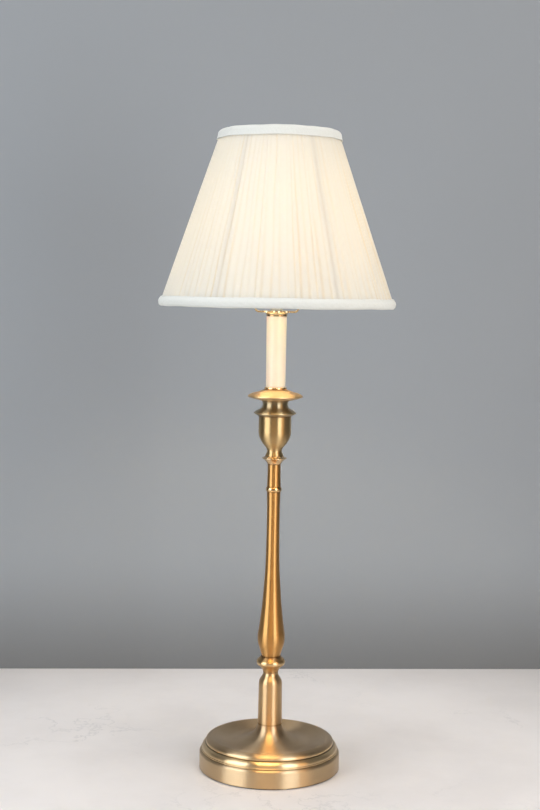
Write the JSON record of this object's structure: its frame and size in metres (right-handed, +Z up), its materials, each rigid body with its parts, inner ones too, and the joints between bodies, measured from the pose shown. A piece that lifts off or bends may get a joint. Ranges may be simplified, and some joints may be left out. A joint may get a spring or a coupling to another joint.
{
  "type": "table lamp",
  "caption": "Turned brass candlestick table lamp with a cream candle sleeve and a pleated empire shade on a harp.",
  "frame": {"origin": "middle of the felt's underside, on the surface that the lamp stands on", "axes": "+Z up along the stem; -Y is the front, where the switch key points; the cord inlet faces +Y"},
  "size_m": [0.308, 0.308, 0.8382],
  "materials": {
    "felt": "pressed felt",
    "cast_iron": "raw casting",
    "brass": "satin, turned and lacquered",
    "bushing_plastic": "moulded",
    "zinc_steel": "zinc plated",
    "candle_enamel": "smooth, satin cream",
    "harp_brass": "bright plated",
    "socket_brass": "bright plated",
    "liner_card": "fibre card",
    "moulded_black": "moulded phenolic",
    "contact_brass": "stamped",
    "bulb_aluminium": "rolled thread",
    "solder": "dull solder",
    "frosted_glass": "frosted inside",
    "clear_glass": "clear",
    "tungsten": "wire",
    "frame_enamel": "white dipped wire",
    "pleated_fabric": "soft gathered pleats",
    "lining_fabric": "smooth lining",
    "trim_fabric": "folded bias binding"
  },
  "bodies": {
    "stand": {"felt_pad": "felt", "base_weight": "cast_iron", "base_band": "brass", "base_dish": "brass", "cord_bushing": "bushing_plastic", "bottom_washer": "zinc_steel", "bottom_nut": "zinc_steel", "lamp_pipe": "zinc_steel", "lower_column": "brass", "knop": "brass", "baluster": "brass", "stem_bead": "brass", "upper_stem": "brass", "cup_foot": "brass", "candle_cup": "brass", "cup_rim": "brass", "drip_pan": "brass", "candle_ring": "brass", "candle_sleeve": "candle_enamel", "candle_cap": "brass", "harp_saddle": "harp_brass", "saddle_locknut": "zinc_steel", "socket_cap": "socket_brass", "socket_shell": "socket_brass", "socket_liner": "liner_card", "socket_body": "moulded_black", "terminal_screws": "contact_brass", "screw_shell": "contact_brass", "centre_contact": "contact_brass"},
    "switch": {"switch_stem": "contact_brass", "switch_key": "moulded_black"},
    "bulb_tip": {"bulb_contact": "solder"},
    "bulb": {"bulb_insulator": "moulded_black", "bulb_cap": "bulb_aluminium", "bulb_glass": "frosted_glass", "bulb_mount": "clear_glass", "bulb_filament": "tungsten"},
    "harp": {"harp_wire": "harp_brass", "harp_seat": "harp_brass"},
    "left_ferrule": {"harp_ferrule_left": "harp_brass"},
    "right_ferrule": {"harp_ferrule_right": "harp_brass"},
    "shade": {"shade_fitter": "frame_enamel", "shade_spider_arms": "frame_enamel", "shade_top_ring": "frame_enamel", "shade_bottom_ring": "frame_enamel", "shade_ribs": "frame_enamel", "shade_cover": "pleated_fabric", "shade_lining": "lining_fabric", "shade_top_trim": "trim_fabric", "shade_bottom_trim": "trim_fabric"},
    "finial_bush": {"finial_insert": "harp_brass"},
    "finial": {"finial": "brass"}
  },
  "joints": [
    {"name": "switch_turn", "type": "hinge", "parent": "stand", "child": "switch", "pos_m": [0, -0.025, 0.637], "axis": [0, 1, 0], "continuous": true},
    {"name": "bulb_rise", "type": "slide", "parent": "stand", "child": "bulb_tip", "axis": [0, 0, 1], "range_m": [0, 0.00907]},
    {"name": "bulb_turn", "type": "hinge", "parent": "bulb_tip", "child": "bulb", "pos_m": [0, 0, 0.66], "axis": [0, 0, 1], "range_deg": [0, 900]},
    {"name": "harp_lift", "type": "slide", "parent": "stand", "child": "harp", "axis": [0, 0, 1], "range_m": [0, 0.15]},
    {"name": "left_ferrule_lift", "type": "slide", "parent": "harp", "child": "left_ferrule", "axis": [0, 0, 1], "range_m": [0, 0.01]},
    {"name": "right_ferrule_lift", "type": "slide", "parent": "harp", "child": "right_ferrule", "axis": [0, 0, 1], "range_m": [0, 0.01]},
    {"name": "shade_turn", "type": "hinge", "parent": "harp", "child": "shade", "pos_m": [0, 0, 0.811], "axis": [0, 0, 1], "continuous": true},
    {"name": "finial_rise", "type": "slide", "parent": "harp", "child": "finial_bush", "axis": [0, 0, 1], "range_m": [0, 0.0047]},
    {"name": "finial_turn", "type": "hinge", "parent": "finial_bush", "child": "finial", "pos_m": [0, 0, 0.816], "axis": [0, 0, 1], "range_deg": [0, 1800]}
  ],
  "couplings": [
    {"joint": "bulb_turn", "follows": "bulb_rise", "rad_per_m": 1730.9},
    {"joint": "finial_turn", "follows": "finial_rise", "rad_per_m": 6679}
  ]
}
